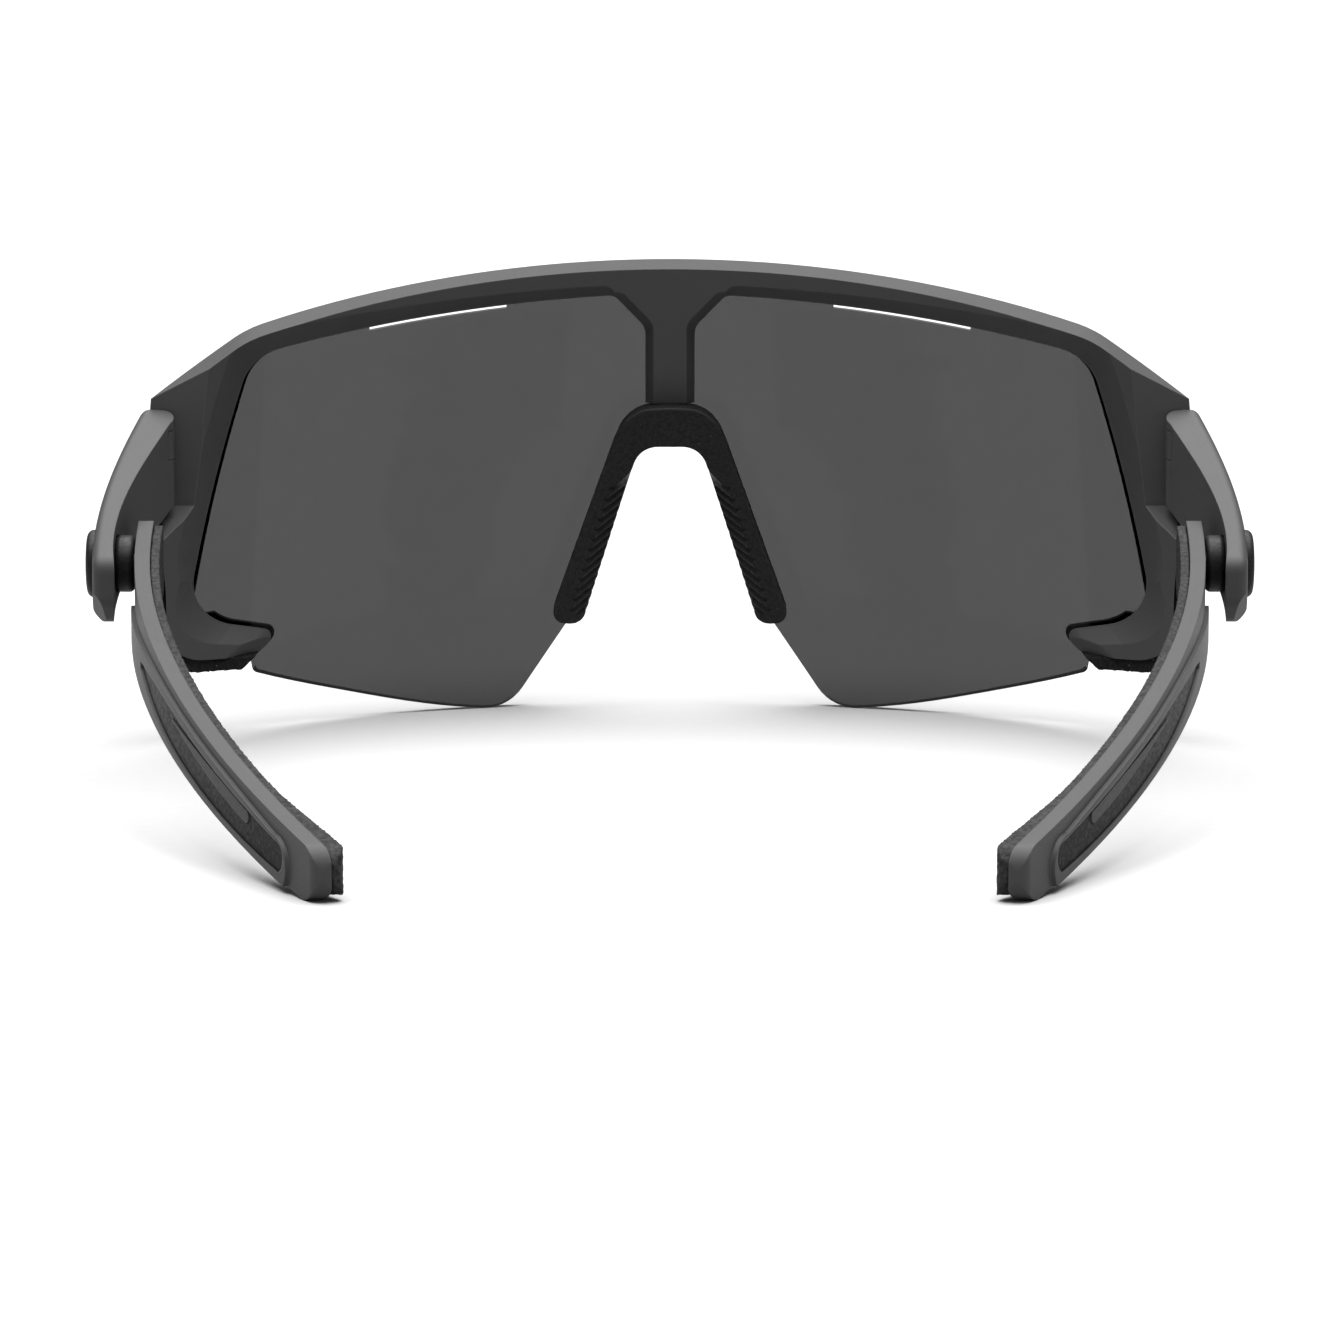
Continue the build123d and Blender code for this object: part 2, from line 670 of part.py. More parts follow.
def inlay_region(grow=0.0):
    g = grow / 8
    return temple_region([(-72, 0.56 + g), (-82, 0.63 + g), (-92, 0.66 + g), (-100, 0.64 + g)],
                         [(-72, 0.54 - g), (-82, 0.50 - g), (-92, 0.44 - g), (-100, 0.42 - g)])


def make_temple():
    side = prism_x(temple_side(), 20, 90)
    upper = plan_band(lambda t: 0.0, lambda t: shell_thickness, near_round=0.95 * shell_thickness)
    lip = plan_band(lambda t: -lip_thickness, lambda t: 0.2)
    temple = one(upper & side)
    temple = one(temple + (lip & side & prism_x(lip_region(), 20, 90)))
    pocket = plan_band(lambda t: -2.0, lambda t: grip_floor) & prism_x(grip_region(trim_gap), 20, 90)
    temple = one(temple - pocket)
    return one(temple - nut_body(seat_clearance)
               - cylinder_x(screw_radius + 0.2, temple_x - 4, temple_x + 4, pivot_y, pivot_z))


def make_temple_pad():
    def inner(t):
        swell = max(0.0, (t - 0.78) / 0.22)
        swell = swell * swell * (3 - 2 * swell)
        return shell_thickness + pad_thickness + (pad_tip_thickness - pad_thickness) * swell
    band = plan_band(lambda t: shell_thickness, inner, far_round=0.9 * pad_tip_thickness)
    return one(band & prism_x(temple_side(pad_inset, 0.5), 20, 90))


def make_grip():
    band = plan_band(lambda t: grip_floor - grip_thickness, lambda t: grip_floor)
    grip = one(band & prism_x(grip_region(), 20, 90))
    return one(grip - prism_x(inlay_region(trim_gap), 20, 90))


def make_inlay():
    band = plan_band(lambda t: grip_floor - inlay_thickness, lambda t: grip_floor)
    return one(band & prism_x(inlay_region(), 20, 90))


def build_all():
    """Every node by name; the right-hand pieces are mirrored for the left."""
    pieces = {
        "front_frame": make_frame(),
        "lens": make_lens(),
        "nose_pad": make_nose_pad(),
        "nose_core": core_body(),
    }
    right = {
        "rim_guard": make_guard(),
        "hinge_pin": make_hinge_pin(),
        "arm": make_arm(),
        "pivot_cap": make_cap(),
        "pivot_bush": make_bush(),
        "pivot_screw": make_pivot_screw(),
        "pivot_nut": make_nut(),
        "temple": make_temple(),
        "temple_pad": make_temple_pad(),
        "temple_grip": make_grip(),
        "temple_inlay": make_inlay(),
    }
    for name, shape in right.items():
        pieces[name + "_right"] = shape
        pieces[name + "_left"] = mirror(shape, about=Plane.YZ)
    return pieces


if __name__ == "__main__":
    os.makedirs("parts", exist_ok=True)
    for name, shape in build_all().items():
        box = shape.bounding_box()
        print(f"{name:20s} {shape.volume:9.2f} mm3  y {box.min.Y:8.2f} {box.max.Y:7.2f}"
              f"  z {box.min.Z:7.2f} {box.max.Z:7.2f}  x max {box.max.X:7.2f}")
        export_step(place(shape), f"parts/{name}.step")
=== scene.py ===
import math

import bpy
import numpy as np
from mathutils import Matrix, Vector, noise


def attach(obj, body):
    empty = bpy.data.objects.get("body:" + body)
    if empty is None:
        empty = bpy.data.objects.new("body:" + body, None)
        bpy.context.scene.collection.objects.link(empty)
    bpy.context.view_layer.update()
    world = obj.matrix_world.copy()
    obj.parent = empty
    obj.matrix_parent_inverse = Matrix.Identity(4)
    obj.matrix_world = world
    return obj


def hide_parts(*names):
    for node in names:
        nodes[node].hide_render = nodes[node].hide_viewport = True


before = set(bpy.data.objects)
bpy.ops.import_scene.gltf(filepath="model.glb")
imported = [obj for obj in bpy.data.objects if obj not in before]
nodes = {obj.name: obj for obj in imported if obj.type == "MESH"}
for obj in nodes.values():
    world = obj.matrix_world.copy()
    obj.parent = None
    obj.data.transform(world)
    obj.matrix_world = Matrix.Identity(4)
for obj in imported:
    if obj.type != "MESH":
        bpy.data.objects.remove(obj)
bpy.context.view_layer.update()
print("frame loaded with", len(nodes), "CAD nodes")


def addNode(tree, kind, place, **settings):
    node = tree.nodes.new(kind)
    node.location = place
    for name, value in settings.items():
        setattr(node, name, value)
    return node


def newGroup(name, inputs, outputs):
    group = bpy.data.node_groups.new(name, "ShaderNodeTree")
    for label, value in inputs:
        socket = group.interface.new_socket(label, in_out="INPUT", socket_type="NodeSocketFloat")
        socket.default_value = value
    for label, kind in outputs:
        group.interface.new_socket(label, in_out="OUTPUT", socket_type=kind)
    source = addNode(group, "NodeGroupInput", (-900, 0))
    sink = addNode(group, "NodeGroupOutput", (900, 0))
    return group, source, sink


def useGroup(tree, group, place, **values):
    node = addNode(tree, "ShaderNodeGroup", place, node_tree=group)
    for label, value in values.items():
        node.inputs[label].default_value = value
    return node


def ramp(tree, place, value, low, high, toLow, toHigh):
    # a value between low and high goes out between toLow and toHigh
    node = addNode(tree, "ShaderNodeMapRange", place, clamp=True)
    for label, number in (("From Min", low), ("From Max", high), ("To Min", toLow), ("To Max", toHigh)):
        node.inputs[label].default_value = number
    tree.links.new(value, node.inputs["Value"])
    return node.outputs["Result"]


def blendColour(tree, place, amount, first, second):
    node = addNode(tree, "ShaderNodeMix", place, data_type="RGBA")
    tree.links.new(amount, node.inputs[0])
    for socket, colour in ((node.inputs[6], first), (node.inputs[7], second)):
        if isinstance(colour, tuple):
            socket.default_value = colour
        else:
            tree.links.new(colour, socket)
    return node.outputs[2]


def grey(level):
    return (level, level, level, 1.0)


def newMaterial(name):
    material = bpy.data.materials.new(name)
    material.use_nodes = True
    tree = material.node_tree
    shader = tree.nodes["Principled BSDF"]
    shader.location = (700, 0)
    tree.nodes["Material Output"].location = (1000, 0)
    return material, tree, shader


def useGrain(tree, place, grainSize, cloudSize):
    return useGroup(tree, grainGroup, place, **{"Grain Size": grainSize, "Cloud Size": cloudSize})


# where most of each texture's values lie
spreadOf = {"grain": (0.3, 0.7), "smear": (0.35, 0.75), "pebbleTone": (0.2, 0.8)}

# mould grain: fine texture from the mould with a broad cloudiness under it
grainMake = {"detail": 3.0, "roughness": 0.6}
grainGroup, source, sink = newGroup(
    "mouldGrain",
    [("Grain Size", 0.0003), ("Cloud Size", 0.012)],
    [("Grain", "NodeSocketFloat"), ("Cloud", "NodeSocketFloat")],
)
where = addNode(grainGroup, "ShaderNodeTexCoord", (-900, -250))
for label, row in (("Grain", 150), ("Cloud", -200)):
    perMetre = addNode(grainGroup, "ShaderNodeMath", (-600, row), operation="DIVIDE")
    perMetre.inputs[0].default_value = 1.0
    grainGroup.links.new(source.outputs[label + " Size"], perMetre.inputs[1])
    cloud = addNode(grainGroup, "ShaderNodeTexNoise", (-300, row))
    cloud.inputs["Detail"].default_value = grainMake["detail"]
    cloud.inputs["Roughness"].default_value = grainMake["roughness"]
    grainGroup.links.new(where.outputs["Object"], cloud.inputs["Vector"])
    grainGroup.links.new(perMetre.outputs[0], cloud.inputs["Scale"])
    grainGroup.links.new(cloud.outputs["Fac"], sink.inputs[label])

# rounded edges: rounds hard edges in the shading, and finds the edges, which the finishes paint lighter
# as a painted highlight
edgeMake = {"samples": 6}
edgeGroup, source, sink = newGroup(
    "roundedEdgesPaintedHighlight",
    [("Radius", 0.0003), ("Reach", 0.25)],
    [("Edge Highlight", "NodeSocketFloat"), ("Normal", "NodeSocketVector")],
)
rounded = addNode(edgeGroup, "ShaderNodeBevel", (-500, 100), samples=edgeMake["samples"])
edgeGroup.links.new(source.outputs["Radius"], rounded.inputs["Radius"])
flat = addNode(edgeGroup, "ShaderNodeNewGeometry", (-500, -150))
turned = addNode(edgeGroup, "ShaderNodeVectorMath", (-250, 0), operation="DOT_PRODUCT")
edgeGroup.links.new(rounded.outputs["Normal"], turned.inputs[0])
edgeGroup.links.new(flat.outputs["Normal"], turned.inputs[1])
# how far the rounded normal turns from the flat one marks the edges for the painted highlight
away = addNode(edgeGroup, "ShaderNodeMath", (0, 0), operation="SUBTRACT")
away.inputs[0].default_value = 1.0
edgeGroup.links.new(turned.outputs["Value"], away.inputs[1])
share = addNode(edgeGroup, "ShaderNodeMath", (250, 0), operation="DIVIDE", use_clamp=True)
edgeGroup.links.new(away.outputs[0], share.inputs[0])
edgeGroup.links.new(source.outputs["Reach"], share.inputs[1])
edgeGroup.links.new(share.outputs[0], sink.inputs["Edge Highlight"])
edgeGroup.links.new(rounded.outputs["Normal"], sink.inputs["Normal"])

# pebbles: small rounded bumps of a textured rubber, and the gaps between them, where shade is painted
# in
pebbleMake = {"domePower": 2.0, "gapFrom": 0.35, "gapTo": 0.75}
pebbleGroup, source, sink = newGroup(
    "rubberPebbles",
    [("Pebble Size", 0.0006), ("Squash", 1.0)],
    [("Height", "NodeSocketFloat"), ("Gaps", "NodeSocketFloat"), ("Tone", "NodeSocketFloat")],
)
where = addNode(pebbleGroup, "ShaderNodeTexCoord", (-900, -250))
perMetre = addNode(pebbleGroup, "ShaderNodeMath", (-600, 100), operation="DIVIDE")
perMetre.inputs[0].default_value = 1.0
pebbleGroup.links.new(source.outputs["Pebble Size"], perMetre.inputs[1])
cells = addNode(pebbleGroup, "ShaderNodeTexVoronoi", (-300, 100), feature="F1")
pebbleGroup.links.new(where.outputs["Object"], cells.inputs["Vector"])
pebbleGroup.links.new(perMetre.outputs[0], cells.inputs["Scale"])
dome = addNode(pebbleGroup, "ShaderNodeMath", (0, 200), operation="POWER")
pebbleGroup.links.new(cells.outputs["Distance"], dome.inputs[0])
dome.inputs[1].default_value = pebbleMake["domePower"]
drop = addNode(pebbleGroup, "ShaderNodeMath", (200, 200), operation="MULTIPLY")
pebbleGroup.links.new(dome.outputs[0], drop.inputs[0])
pebbleGroup.links.new(source.outputs["Squash"], drop.inputs[1])
crown = addNode(pebbleGroup, "ShaderNodeMath", (400, 200), operation="SUBTRACT", use_clamp=True)
crown.inputs[0].default_value = 1.0
pebbleGroup.links.new(drop.outputs[0], crown.inputs[1])
pebbleGroup.links.new(crown.outputs[0], sink.inputs["Height"])
gaps = addNode(pebbleGroup, "ShaderNodeMapRange", (200, 0), clamp=True)
gaps.inputs["From Min"].default_value = pebbleMake["gapFrom"]
gaps.inputs["From Max"].default_value = pebbleMake["gapTo"]
pebbleGroup.links.new(cells.outputs["Distance"], gaps.inputs["Value"])
pebbleGroup.links.new(gaps.outputs["Result"], sink.inputs["Gaps"])
pebbleGroup.links.new(cells.outputs["Color"], sink.inputs["Tone"])

# lint: sparse pale specks that settle on rubber
lintGroup, source, sink = newGroup(
    "lintSpecks",
    [("Spacing", 0.0016), ("Amount", 0.1)],
    [("Lint", "NodeSocketFloat")],
)
where = addNode(lintGroup, "ShaderNodeTexCoord", (-900, -250))
perMetre = addNode(lintGroup, "ShaderNodeMath", (-600, 100), operation="DIVIDE")
perMetre.inputs[0].default_value = 1.0
lintGroup.links.new(source.outputs["Spacing"], perMetre.inputs[1])
cells = addNode(lintGroup, "ShaderNodeTexVoronoi", (-300, 100), feature="F1")
lintGroup.links.new(where.outputs["Object"], cells.inputs["Vector"])
lintGroup.links.new(perMetre.outputs[0], cells.inputs["Scale"])
speck = addNode(lintGroup, "ShaderNodeMath", (0, 100), operation="LESS_THAN")
lintGroup.links.new(cells.outputs["Distance"], speck.inputs[0])
lintGroup.links.new(source.outputs["Amount"], speck.inputs[1])
lintGroup.links.new(speck.outputs[0], sink.inputs["Lint"])
print("shared effects made:", ", ".join(sorted(g.name for g in bpy.data.node_groups)))


# the moulded plastic of the front, the arms and the temples
# in each plastic look, the edge tone is the colour of a painted highlight along the edges
frameLook = {
    "dark": 0.032, "light": 0.038, "edgeHighlightTone": 0.058,
    "roughness": (0.46, 0.56), "edgeRoughness": 0.40,
    "grainSize": 0.00022, "cloudSize": 0.010, "grainDepth": 0.000006,
    "edgeRadius": 0.00025, "edgeReach": 0.22, "gloss": 0.16,
}


def mouldedPlastic(name, look):
    material, tree, shader = newMaterial(name)
    grain = useGrain(tree, (-700, 200), look["grainSize"], look["cloudSize"])
    edges = useGroup(tree, edgeGroup, (-700, -200), Radius=look["edgeRadius"], Reach=look["edgeReach"])
    dark, light, edgeHighlightTone = grey(look["dark"]), grey(look["light"]), grey(look["edgeHighlightTone"])
    tone = blendColour(tree, (-300, 300), grain.outputs["Cloud"], dark, light)
    # the edges are painted lighter: a painted highlight along the edges
    highlighted = blendColour(tree, (0, 300), edges.outputs["Edge Highlight"], tone, edgeHighlightTone)
    tree.links.new(highlighted, shader.inputs["Base Color"])
    shader.inputs["Specular IOR Level"].default_value = look["gloss"]
    matt = ramp(tree, (-300, 0), grain.outputs["Grain"], *spreadOf["grain"], *look["roughness"])
    roughnessMix = addNode(tree, "ShaderNodeMix", (0, 0), data_type="FLOAT")
    tree.links.new(edges.outputs["Edge Highlight"], roughnessMix.inputs[0])
    tree.links.new(matt, roughnessMix.inputs[2])
    roughnessMix.inputs[3].default_value = look["edgeRoughness"]
    tree.links.new(roughnessMix.outputs[0], shader.inputs["Roughness"])
    bump = addNode(tree, "ShaderNodeBump", (300, -250))
    bump.inputs["Distance"].default_value = look["grainDepth"]
    tree.links.new(grain.outputs["Grain"], bump.inputs["Height"])
    tree.links.new(edges.outputs["Normal"], bump.inputs["Normal"])
    tree.links.new(bump.outputs["Normal"], shader.inputs["Normal"])
    return material


framePlastic = mouldedPlastic("framePlastic", frameLook)

# the smoother grey inlay let into each temple's outer face
inlayLook = {
    "dark": 0.026, "light": 0.034, "edgeHighlightTone": 0.050,
    "roughness": (0.48, 0.60), "edgeRoughness": 0.40,
    "grainSize": 0.00050, "cloudSize": 0.006, "grainDepth": 0.000030,
    "edgeRadius": 0.00015, "edgeReach": 0.25, "gloss": 0.14,
}
inlayPlastic = mouldedPlastic("inlayPlastic", inlayLook)

# the stiff core that holds the nose pad in the bridge
coreLook = {
    "dark": 0.014, "light": 0.020, "edgeHighlightTone": 0.040,
    "roughness": (0.45, 0.55), "edgeRoughness": 0.40,
    "grainSize": 0.00030, "cloudSize": 0.006, "grainDepth": 0.000008,
    "edgeRadius": 0.00015, "edgeReach": 0.25, "gloss": 0.14,
}
corePlastic = mouldedPlastic("corePlastic", coreLook)


# rubbers, all built the same way and told apart by their values
# gapShade darkens the dark tone in the gaps between pebbles: painted shade
rubberMake = {"grainShare": 0.5, "gapShade": 0.6}  # of the pebble size, and of the dark tone
# in each rubber look, the edge tone is the colour of a painted highlight along the edges
noseLook = {
    "dark": 0.0075, "light": 0.0110, "edgeHighlightTone": 0.020, "lintTone": 0.030,
    "roughness": (0.52, 0.66), "pebbleSize": 0.00035, "pebbleDepth": 0.000010,
    "cloudSize": 0.008, "lintSpacing": 0.0022, "lintAmount": 0.05,
    "edgeRadius": 0.00045, "edgeReach": 0.30, "gloss": 0.12,
}
guardLook = {
    "dark": 0.0060, "light": 0.0110, "edgeHighlightTone": 0.018, "lintTone": 0.075,
    "roughness": (0.70, 0.88), "pebbleSize": 0.00045, "pebbleDepth": 0.000030,
    "cloudSize": 0.006, "lintSpacing": 0.0011, "lintAmount": 0.10,
    "edgeRadius": 0.00040, "edgeReach": 0.30, "gloss": 0.08,
}
templePadLook = {
    "dark": 0.014, "light": 0.024, "edgeHighlightTone": 0.045, "lintTone": 0.050,
    "roughness": (0.60, 0.80), "pebbleSize": 0.00055, "pebbleDepth": 0.000060,
    "cloudSize": 0.008, "lintSpacing": 0.0020, "lintAmount": 0.06,
    "edgeRadius": 0.00045, "edgeReach": 0.30, "gloss": 0.12,
}
gripLook = {
    "dark": 0.0060, "light": 0.0090, "edgeHighlightTone": 0.016, "lintTone": 0.020,
    "roughness": (0.42, 0.55), "pebbleSize": 0.00040, "pebbleDepth": 0.000006,
    "cloudSize": 0.010, "lintSpacing": 0.0030, "lintAmount": 0.04,
    "edgeRadius": 0.00030, "edgeReach": 0.30, "gloss": 0.06,
}
capLook = {
    "dark": 0.0060, "light": 0.0095, "edgeHighlightTone": 0.020, "lintTone": 0.025,
    "roughness": (0.46, 0.60), "pebbleSize": 0.00030, "pebbleDepth": 0.000008,
    "cloudSize": 0.004, "lintSpacing": 0.0018, "lintAmount": 0.05,
    "edgeRadius": 0.00030, "edgeReach": 0.25, "gloss": 0.16,
}


def mouldedRubber(name, look):
    material, tree, shader = newMaterial(name)
    grainSize = look["pebbleSize"] * rubberMake["grainShare"]
    grain = useGrain(tree, (-900, 300), grainSize, look["cloudSize"])
    pebbles = useGroup(tree, pebbleGroup, (-900, 50), **{"Pebble Size": look["pebbleSize"]})
    specks = {"Spacing": look["lintSpacing"], "Amount": look["lintAmount"]}
    lint = useGroup(tree, lintGroup, (-900, -150), **specks)
    edges = useGroup(tree, edgeGroup, (-900, -350), Radius=look["edgeRadius"], Reach=look["edgeReach"])
    dark, light, edgeHighlightTone = grey(look["dark"]), grey(look["light"]), grey(look["edgeHighlightTone"])
    # the gaps between pebbles are painted darker: painted shade in the hollows
    paintedGapShade = grey(look["dark"] * rubberMake["gapShade"])
    tone = blendColour(tree, (-500, 300), grain.outputs["Cloud"], dark, light)
    shaded = blendColour(tree, (-300, 300), pebbles.outputs["Gaps"], tone, paintedGapShade)
    # the edges are painted lighter: a painted highlight along the edges
    highlighted = blendColour(tree, (-100, 300), edges.outputs["Edge Highlight"], shaded, edgeHighlightTone)
    dusted = blendColour(tree, (100, 300), lint.outputs["Lint"], highlighted, grey(look["lintTone"]))
    tree.links.new(dusted, shader.inputs["Base Color"])
    pebbleTone = pebbles.outputs["Tone"]
    matt = ramp(tree, (-300, 0), pebbleTone, *spreadOf["pebbleTone"], *look["roughness"])
    tree.links.new(matt, shader.inputs["Roughness"])
    shader.inputs["Specular IOR Level"].default_value = look["gloss"]
    bump = addNode(tree, "ShaderNodeBump", (300, -250))
    bump.inputs["Distance"].default_value = look["pebbleDepth"]
    tree.links.new(pebbles.outputs["Height"], bump.inputs["Height"])
    tree.links.new(edges.outputs["Normal"], bump.inputs["Normal"])
    tree.links.new(bump.outputs["Normal"], shader.inputs["Normal"])
    return material


noseRubber = mouldedRubber("noseRubber", noseLook)
guardRubber = mouldedRubber("guardRubber", guardLook)
templePadRubber = mouldedRubber("templePadRubber", templePadLook)
gripRubber = mouldedRubber("gripRubber", gripLook)
capRubber = mouldedRubber("capRubber", capLook)


# the dark tinted lens
lensLook = {
    "tint": 0.064, "tintCloud": 0.070, "index": 1.12,
    "roughness": (0.02, 0.05), "cloudSize": 0.0030, "smearSize": 0.018,
}


def tintedLens(look):
    material, tree, shader = newMaterial("tintedLens")
    grain = useGrain(tree, (-700, 100), look["cloudSize"], look["smearSize"])
    tint, tintCloud = grey(look["tint"]), grey(look["tintCloud"])
    tone = blendColour(tree, (-200, 200), grain.outputs["Grain"], tint, tintCloud)
    tree.links.new(tone, shader.inputs["Base Color"])
    cloudiness = grain.outputs["Cloud"]
    smear = ramp(tree, (-200, -100), cloudiness, *spreadOf["smear"], *look["roughness"])
    tree.links.new(smear, shader.inputs["Roughness"])
    shader.inputs["Transmission Weight"].default_value = 1.0
    shader.inputs["IOR"].default_value = look["index"]
    return material


lensTint = tintedLens(lensLook)


# the metal of the hinge pins, screws and nuts
steelLook = {
    "dark": (0.30, 0.30, 0.31, 1), "light": (0.45, 0.45, 0.46, 1), "roughness": (0.25, 0.45),
    "scratchSize": 0.00015, "cloudSize": 0.0015, "scratchDepth": 0.000002,
    "edgeRadius": 0.0001, "edgeReach": 0.2,
}
brassLook = {
    "dark": (0.42, 0.30, 0.12, 1), "light": (0.60, 0.44, 0.20, 1), "roughness": (0.28, 0.50),
    "scratchSize": 0.00015, "cloudSize": 0.0012, "scratchDepth": 0.000002,
    "edgeRadius": 0.0001, "edgeReach": 0.2,
}


def turnedMetal(name, look):
    material, tree, shader = newMaterial(name)
    grain = useGrain(tree, (-700, 100), look["scratchSize"], look["cloudSize"])
    edges = useGroup(tree, edgeGroup, (-700, -200), Radius=look["edgeRadius"], Reach=look["edgeReach"])
    tone = blendColour(tree, (-200, 200), grain.outputs["Cloud"], look["dark"], look["light"])
    tree.links.new(tone, shader.inputs["Base Color"])
    scratches = grain.outputs["Grain"]
    roughnessMix = ramp(tree, (-200, -50), scratches, *spreadOf["grain"], *look["roughness"])
    tree.links.new(roughnessMix, shader.inputs["Roughness"])
    shader.inputs["Metallic"].default_value = 1.0
    bump = addNode(tree, "ShaderNodeBump", (300, -250))
    bump.inputs["Distance"].default_value = look["scratchDepth"]
    tree.links.new(grain.outputs["Grain"], bump.inputs["Height"])
    tree.links.new(edges.outputs["Normal"], bump.inputs["Normal"])
    tree.links.new(bump.outputs["Normal"], shader.inputs["Normal"])
    return material


pinSteel = turnedMetal("pinSteel", steelLook)
nutBrass = turnedMetal("nutBrass", brassLook)

finishOf = {
    "front_frame": framePlastic, "arm": framePlastic, "temple": framePlastic, "lens": lensTint,
    "nose_pad": noseRubber, "nose_core": corePlastic, "rim_guard": guardRubber,
    "temple_pad": templePadRubber, "temple_grip": gripRubber, "temple_inlay": inlayPlastic,
    "pivot_cap": capRubber, "pivot_bush": capRubber, "hinge_pin": pinSteel, "pivot_screw": pinSteel,
    "pivot_nut": nutBrass,
}
for name, node in nodes.items():
    finish = finishOf[name.removesuffix("_left").removesuffix("_right")]
    for holder in node.material_slots:
        holder.material = finish
print("finishes given:", len(set(finishOf.values())), "materials")


# rubber pieces: their moulded edges are rounded over and the grip texture is real
skinMake = {"weld": 0.000001, "relaxFactor": 0.5, "toothSpread": 1.6}
noseShape = {"voxel": 0.00018, "relax": 2, "toothSize": 0.0011, "toothDepth": 0.00003}
templePadShape = {"voxel": 0.00017, "relax": 4, "toothSize": 0.00060, "toothDepth": 0.00010}
guardShape = {"voxel": 0.00018, "relax": 4, "toothSize": 0.0008, "toothDepth": 0.00005}

# the legs' inner rear corners are bevelled and carry slanted grip ribs, and the crown falls
# away to the sides. Shares run along a leg from its arch (0) to its toe (1)
legShape = {
    "arch": (0.0042, 0.0364), "toe": (0.0121, 0.0119), "cellsPerMetre": 1000,
    "bevelWidth": 0.0019, "bevelDepth": 0.0021, "bevelFrom": (0.10, 0.30),
    "ribFrom": 0.24, "ribTo": 0.97, "ribFade": 0.02, "ribCount": 13, "ribDepth": 0.0006,
    "ribSlant": 1.3, "ribSharpness": 4,
    "crownFrom": 0.0370, "crownHeight": 0.0049, "crownHalf": 0.0060, "crownDrop": 0.0006,
}


def smoothStep(value, low, high):
    share = np.clip((value - low) / (high - low), 0, 1)
    return share * share * (3 - 2 * share)


def shapeLegs(mesh, shape):
    points = np.array([corner.co for corner in mesh.vertices])
    side, across = np.sign(points[:, 0]), abs(points[:, 0])
    deep, high = points[:, 1], points[:, 2]

    # the rear face is a smooth fit through the rearmost point of each small square
    perMetre = shape["cellsPerMetre"]
    rearmostIn = {}
    for index, cell in enumerate(zip(np.round(across * perMetre), np.round(high * perMetre))):
        if cell not in rearmostIn or deep[index] < deep[rearmostIn[cell]]:
            rearmostIn[cell] = index
    rearmost = sorted(rearmostIn.values())
    terms = np.stack([np.ones_like(across), across ** 2, high, high ** 2], axis=1)
    fit = np.linalg.lstsq(terms[rearmost], deep[rearmost], rcond=None)[0]
    depth = deep - terms @ fit

    # how far a point is in from the leg's inner line, and how far along it
    start, toe = np.array(shape["arch"]), np.array(shape["toe"])
    length = np.linalg.norm(toe - start)
    down = (toe - start) / length
    out = np.array([-down[1], down[0]])
    flat = np.stack([across, high], axis=1) - start
    inset, run = flat @ out, flat @ down
    started = smoothStep(run / length, *shape["bevelFrom"])
    bevel = shape["bevelWidth"] * (1 - depth / shape["bevelDepth"]) * started
    ribFrom, ribTo, fade = shape["ribFrom"], shape["ribTo"], shape["ribFade"]
    pitch = (ribTo - ribFrom) * length / shape["ribCount"]
    wave = np.cos(2 * np.pi * (run - shape["ribSlant"] * np.clip(bevel, 0, None)) / pitch)
    begun = smoothStep(run / length, ribFrom - fade, ribFrom)
    ended = smoothStep(run / length, ribTo - fade, ribTo)
    groove = np.clip(wave, 0, 1) ** shape["ribSharpness"] * begun * (1 - ended)
    wanted = bevel + shape["ribDepth"] * groove
    push = np.where(bevel > 0, np.clip(wanted - inset, 0, None), 0)
    across, high = across + push * out[0], high + push * out[1]

    crown = np.clip((high - shape["crownFrom"]) / shape["crownHeight"], 0, 1)
    high = high - shape["crownDrop"] * (across / shape["crownHalf"]) ** 2 * crown
    for corner, place in zip(mesh.vertices, np.stack([side * across, deep, high], axis=1)):
        corner.co = place


def mouldedRubberPiece(nodeName, body, shape, finish):
    node = nodes[nodeName]
    piece = bpy.data.objects.new(nodeName + "_rubber", node.data.copy())
    bpy.context.scene.collection.objects.link(piece)
    joined = piece.modifiers.new("joined", "WELD")
    joined.merge_threshold = skinMake["weld"]
    skin = piece.modifiers.new("skin", "REMESH")
    skin.mode = "VOXEL"
    skin.voxel_size = shape["voxel"]
    relaxed = piece.modifiers.new("relaxed", "SMOOTH")
    relaxed.factor = skinMake["relaxFactor"]
    relaxed.iterations = shape["relax"]
    graph = bpy.context.evaluated_depsgraph_get()
    skinned = bpy.data.meshes.new_from_object(piece.evaluated_get(graph))
    piece.modifiers.clear()
    piece.data = skinned
    sunk = []
    for corner in skinned.vertices:  # each pebble stands up, and the gaps between them sink in
        spread = noise.voronoi(corner.co / shape["toothSize"])[0]
        sinking = min(1.0, spread[0] * skinMake["toothSpread"])
        sunk.append(corner.co - corner.normal * shape["toothDepth"] * sinking)
    for corner, place in zip(skinned.vertices, sunk):
        corner.co = place
    if nodeName == "nose_pad":
        shapeLegs(skinned, legShape)
    skinned.update()
    skinned.materials.clear()
    skinned.materials.append(finish)
    skinned.shade_smooth()
    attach(piece, body)
    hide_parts(nodeName)


mouldedRubberPiece("nose_pad", "front", noseShape, noseRubber)
for side in ("left", "right"):
    padName, templeBody = "temple_pad_" + side, "temple_" + side
    mouldedRubberPiece(padName, templeBody, templePadShape, templePadRubber)
    mouldedRubberPiece("rim_guard_" + side, "front", guardShape, guardRubber)
print("rubber pieces moulded")


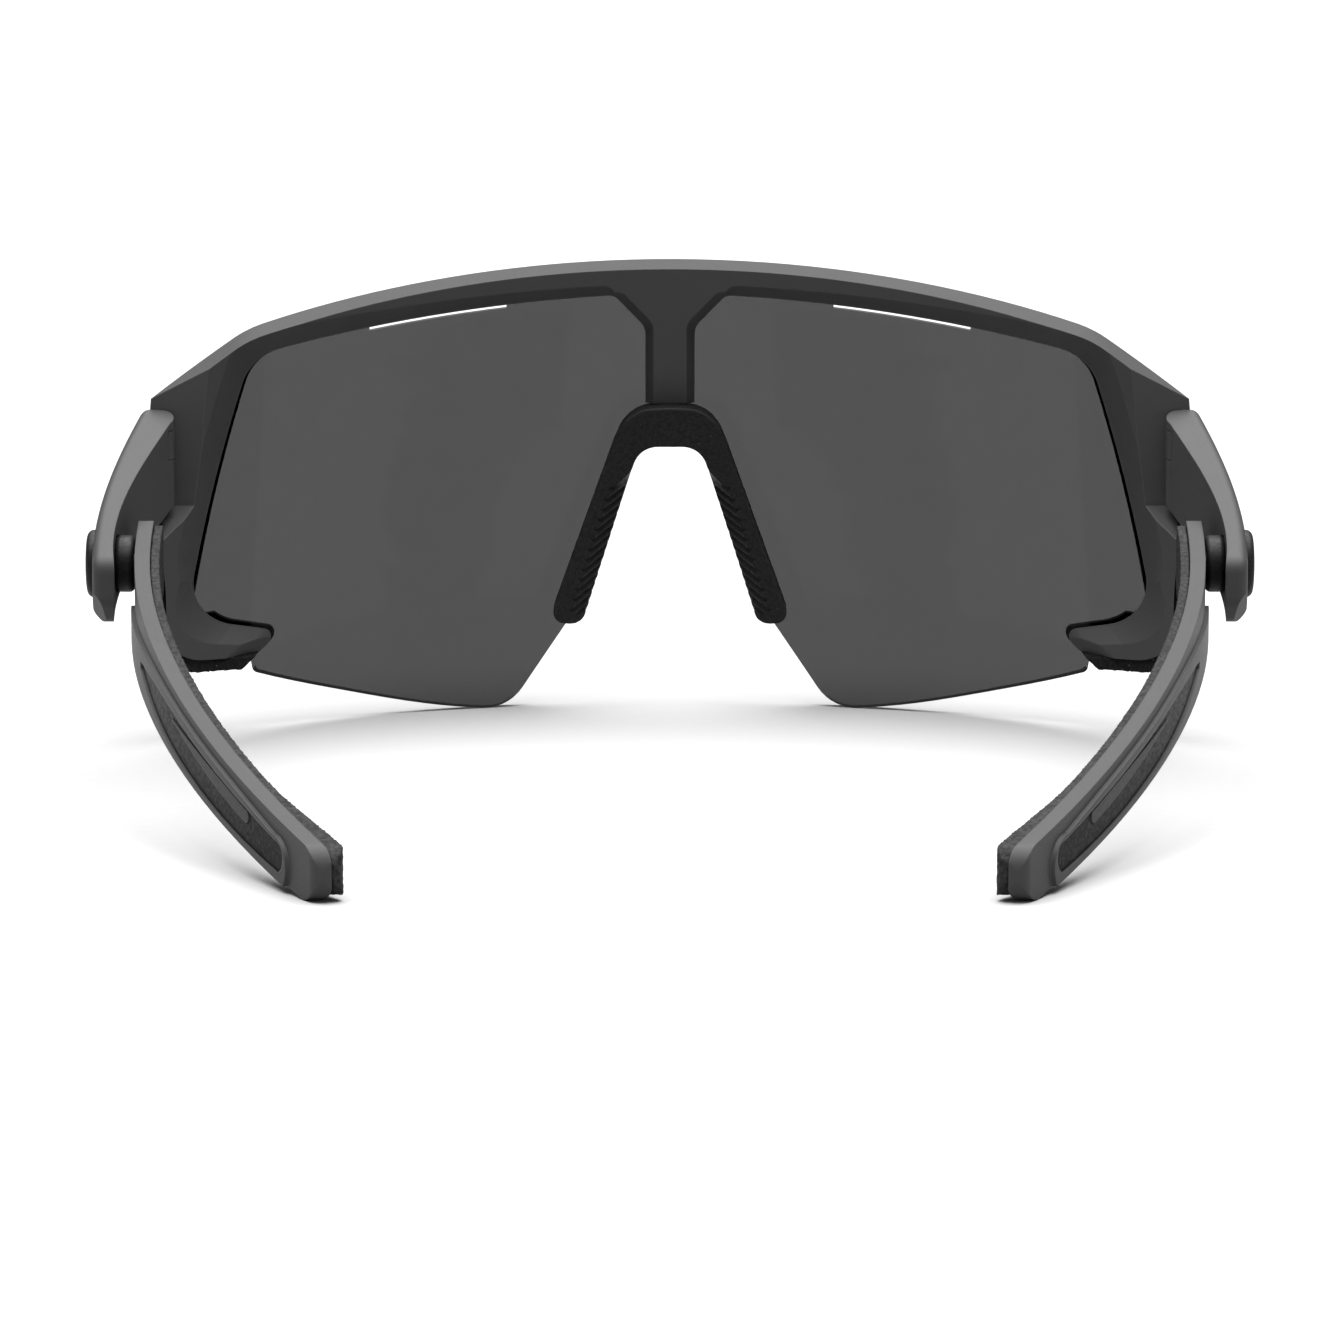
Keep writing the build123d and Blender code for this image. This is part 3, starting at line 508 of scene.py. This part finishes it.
# camera, from behind the wearer's head looking forward, a little down
cameraSetup = {
    "place": (0.0, -0.79804, 0.1400), "aim": (0.0, 0.04184, 0.00923), "lens": 169.9, "sensor": 36.0,
}
cameraData = bpy.data.cameras.new("rearCamera")
cameraData.lens = cameraSetup["lens"]
cameraData.sensor_width = cameraSetup["sensor"]
camera = bpy.data.objects.new("rearCamera", cameraData)
bpy.context.scene.collection.objects.link(camera)
camera.location = cameraSetup["place"]
sight = Vector(cameraSetup["aim"]) - camera.location
camera.rotation_euler = sight.to_track_quat("-Z", "Y").to_euler()
bpy.context.scene.camera = camera

# pale floor
floorSetup = {
    "half": 8.0, "drop": 0.0001, "tone": 0.335, "toneCloud": 0.350, "roughness": (0.75, 0.85),
    "grainSize": 0.002, "cloudSize": 0.3,
}
floorMesh = bpy.data.meshes.new("floor")
half, drop = floorSetup["half"], -floorSetup["drop"]
corners = [(-half, -half, drop), (half, -half, drop), (half, half, drop), (-half, half, drop)]
floorMesh.from_pydata(corners, [], [(0, 1, 2, 3)])
floor = bpy.data.objects.new("floor", floorMesh)
bpy.context.scene.collection.objects.link(floor)
floorPaper, tree, shader = newMaterial("floorPaper")
grain = useGrain(tree, (-700, 100), floorSetup["grainSize"], floorSetup["cloudSize"])
floorTone, floorCloud = grey(floorSetup["tone"]), grey(floorSetup["toneCloud"])
tone = blendColour(tree, (-200, 200), grain.outputs["Cloud"], floorTone, floorCloud)
tree.links.new(tone, shader.inputs["Base Color"])
fibres = grain.outputs["Grain"]
matt = ramp(tree, (-200, -50), fibres, *spreadOf["grain"], *floorSetup["roughness"])
tree.links.new(matt, shader.inputs["Roughness"])
floorMesh.materials.append(floorPaper)

# soft studio light: a dim white room and one broad soft source above and ahead
lightSetup = {"room": 0.30, "overhead": 10.5, "spread": 80.0, "from": (0.0, 0.10, 1.0)}
world = bpy.data.worlds.new("whiteRoom")
world.use_nodes = True
world.node_tree.nodes["Background"].inputs["Color"].default_value = (1, 1, 1, 1)
world.node_tree.nodes["Background"].inputs["Strength"].default_value = lightSetup["room"]
bpy.context.scene.world = world
overheadData = bpy.data.lights.new("overheadSoft", "SUN")
overheadData.energy = lightSetup["overhead"]
overheadData.angle = math.radians(lightSetup["spread"])
overhead = bpy.data.objects.new("overheadSoft", overheadData)
overhead.rotation_euler = (-Vector(lightSetup["from"])).to_track_quat("-Z", "Y").to_euler()
bpy.context.scene.collection.objects.link(overhead)
bpy.context.scene.view_settings.view_transform = "Standard"
print("camera, floor and light placed")
